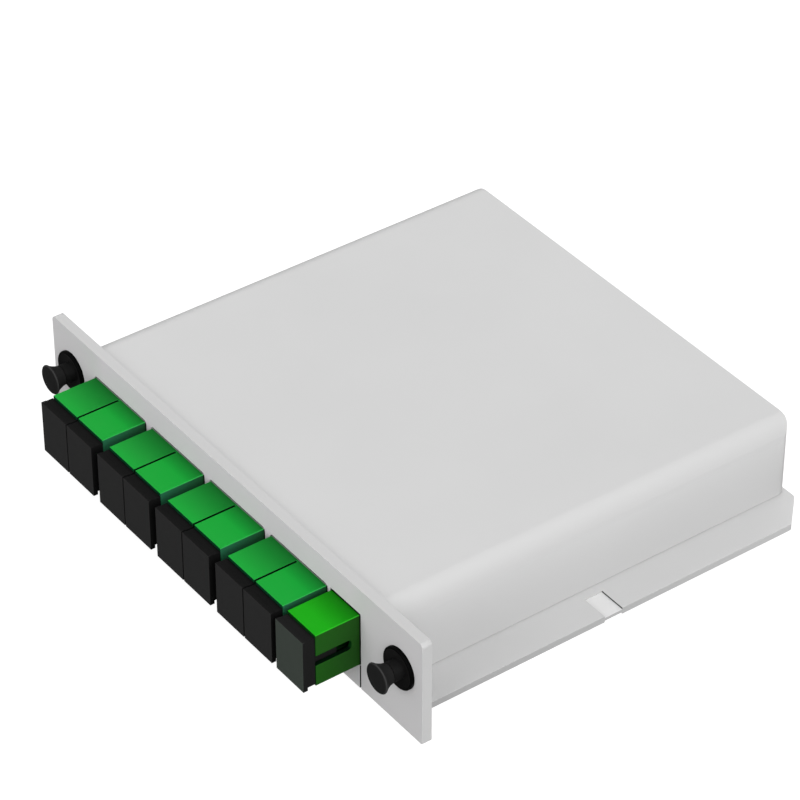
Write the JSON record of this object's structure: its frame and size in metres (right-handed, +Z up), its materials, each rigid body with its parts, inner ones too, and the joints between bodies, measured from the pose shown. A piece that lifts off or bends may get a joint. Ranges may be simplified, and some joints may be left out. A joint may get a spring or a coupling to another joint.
{
  "type": "fibre splitter cassette",
  "caption": "Card-type fibre splitter cassette: a flat grey case behind a faceplate with capped green adapters, a push-pull latch at each end and slide wings.",
  "frame": {"origin": "middle of the whole object's footprint, on its flat bottom", "axes": "+X along the faceplate towards the input port, +Y from the faceplate into the case, +Z up"},
  "size_m": [0.13, 0.115, 0.025],
  "materials": {
    "faceplate_grey": "satin",
    "case_grey": "satin",
    "adapter_green": "satin",
    "adapter_leaf_green": "satin",
    "holder_green": "satin",
    "zirconia_white": "polished",
    "cap_black": "satin",
    "latch_black": "satin",
    "connector_green": "satin",
    "boot_white": "matte",
    "splitter_steel": "brushed",
    "splitter_boot_black": "matte",
    "screw_steel": "zinc plated",
    "lead_yellow": "satin",
    "lead_blue": "satin",
    "lead_orange": "satin",
    "lead_green": "satin",
    "lead_brown": "satin",
    "lead_slate": "satin",
    "lead_white": "satin",
    "lead_red": "satin",
    "lead_black": "satin"
  },
  "bodies": {
    "cassette": {"adapter_single": "adapter_leaf_green", "adapter_twin_1": "adapter_green", "adapter_twin_2": "adapter_green", "adapter_twin_3": "adapter_green", "adapter_twin_4": "adapter_green", "base_tray": "case_grey", "case_screws": "screw_steel", "ceramic_sleeves": "zirconia_white", "connector_boots": "boot_white", "connector_ferrules": "zirconia_white", "connector_input": "connector_green", "connector_output_1": "connector_green", "connector_output_2": "connector_green", "connector_output_3": "connector_green", "connector_output_4": "connector_green", "connector_output_5": "connector_green", "connector_output_6": "connector_green", "connector_output_7": "connector_green", "connector_output_8": "connector_green", "cover": "case_grey", "faceplate": "faceplate_grey", "latch_grommet_left": "latch_black", "latch_grommet_right": "latch_black", "lead_input": "lead_yellow", "lead_output_1": "lead_blue", "lead_output_2": "lead_orange", "lead_output_3": "lead_green", "lead_output_4": "lead_brown", "lead_output_5": "lead_slate", "lead_output_6": "lead_white", "lead_output_7": "lead_red", "lead_output_8": "lead_black", "sleeve_holder_input": "holder_green", "sleeve_holder_output_1": "holder_green", "sleeve_holder_output_2": "holder_green", "sleeve_holder_output_3": "holder_green", "sleeve_holder_output_4": "holder_green", "sleeve_holder_output_5": "holder_green", "sleeve_holder_output_6": "holder_green", "sleeve_holder_output_7": "holder_green", "sleeve_holder_output_8": "holder_green", "splitter_boot_input": "splitter_boot_black", "splitter_boot_output": "splitter_boot_black", "splitter_case": "splitter_steel"},
    "dust_cap_output_1": {"dust_cap_output_1": "cap_black"},
    "dust_cap_output_2": {"dust_cap_output_2": "cap_black"},
    "dust_cap_output_3": {"dust_cap_output_3": "cap_black"},
    "dust_cap_output_4": {"dust_cap_output_4": "cap_black"},
    "dust_cap_output_5": {"dust_cap_output_5": "cap_black"},
    "dust_cap_output_6": {"dust_cap_output_6": "cap_black"},
    "dust_cap_output_7": {"dust_cap_output_7": "cap_black"},
    "dust_cap_output_8": {"dust_cap_output_8": "cap_black"},
    "dust_cap_input": {"dust_cap_input": "cap_black"},
    "latch_plunger_left": {"latch_plunger_left": "latch_black"},
    "latch_plunger_right": {"latch_plunger_right": "latch_black"}
  },
  "joints": [
    {"name": "dust_cap_output_1_pull", "type": "slide", "parent": "cassette", "child": "dust_cap_output_1", "axis": [0, -1, 0], "range_m": [0, 0.02]},
    {"name": "dust_cap_output_2_pull", "type": "slide", "parent": "cassette", "child": "dust_cap_output_2", "axis": [0, -1, 0], "range_m": [0, 0.02]},
    {"name": "dust_cap_output_3_pull", "type": "slide", "parent": "cassette", "child": "dust_cap_output_3", "axis": [0, -1, 0], "range_m": [0, 0.02]},
    {"name": "dust_cap_output_4_pull", "type": "slide", "parent": "cassette", "child": "dust_cap_output_4", "axis": [0, -1, 0], "range_m": [0, 0.02]},
    {"name": "dust_cap_output_5_pull", "type": "slide", "parent": "cassette", "child": "dust_cap_output_5", "axis": [0, -1, 0], "range_m": [0, 0.02]},
    {"name": "dust_cap_output_6_pull", "type": "slide", "parent": "cassette", "child": "dust_cap_output_6", "axis": [0, -1, 0], "range_m": [0, 0.02]},
    {"name": "dust_cap_output_7_pull", "type": "slide", "parent": "cassette", "child": "dust_cap_output_7", "axis": [0, -1, 0], "range_m": [0, 0.02]},
    {"name": "dust_cap_output_8_pull", "type": "slide", "parent": "cassette", "child": "dust_cap_output_8", "axis": [0, -1, 0], "range_m": [0, 0.02]},
    {"name": "dust_cap_input_pull", "type": "slide", "parent": "cassette", "child": "dust_cap_input", "axis": [0, -1, 0], "range_m": [0, 0.02]},
    {"name": "latch_left_pull", "type": "slide", "parent": "cassette", "child": "latch_plunger_left", "axis": [0, -1, 0], "range_m": [0, 0.003]},
    {"name": "latch_right_pull", "type": "slide", "parent": "cassette", "child": "latch_plunger_right", "axis": [0, -1, 0], "range_m": [0, 0.003]}
  ]
}
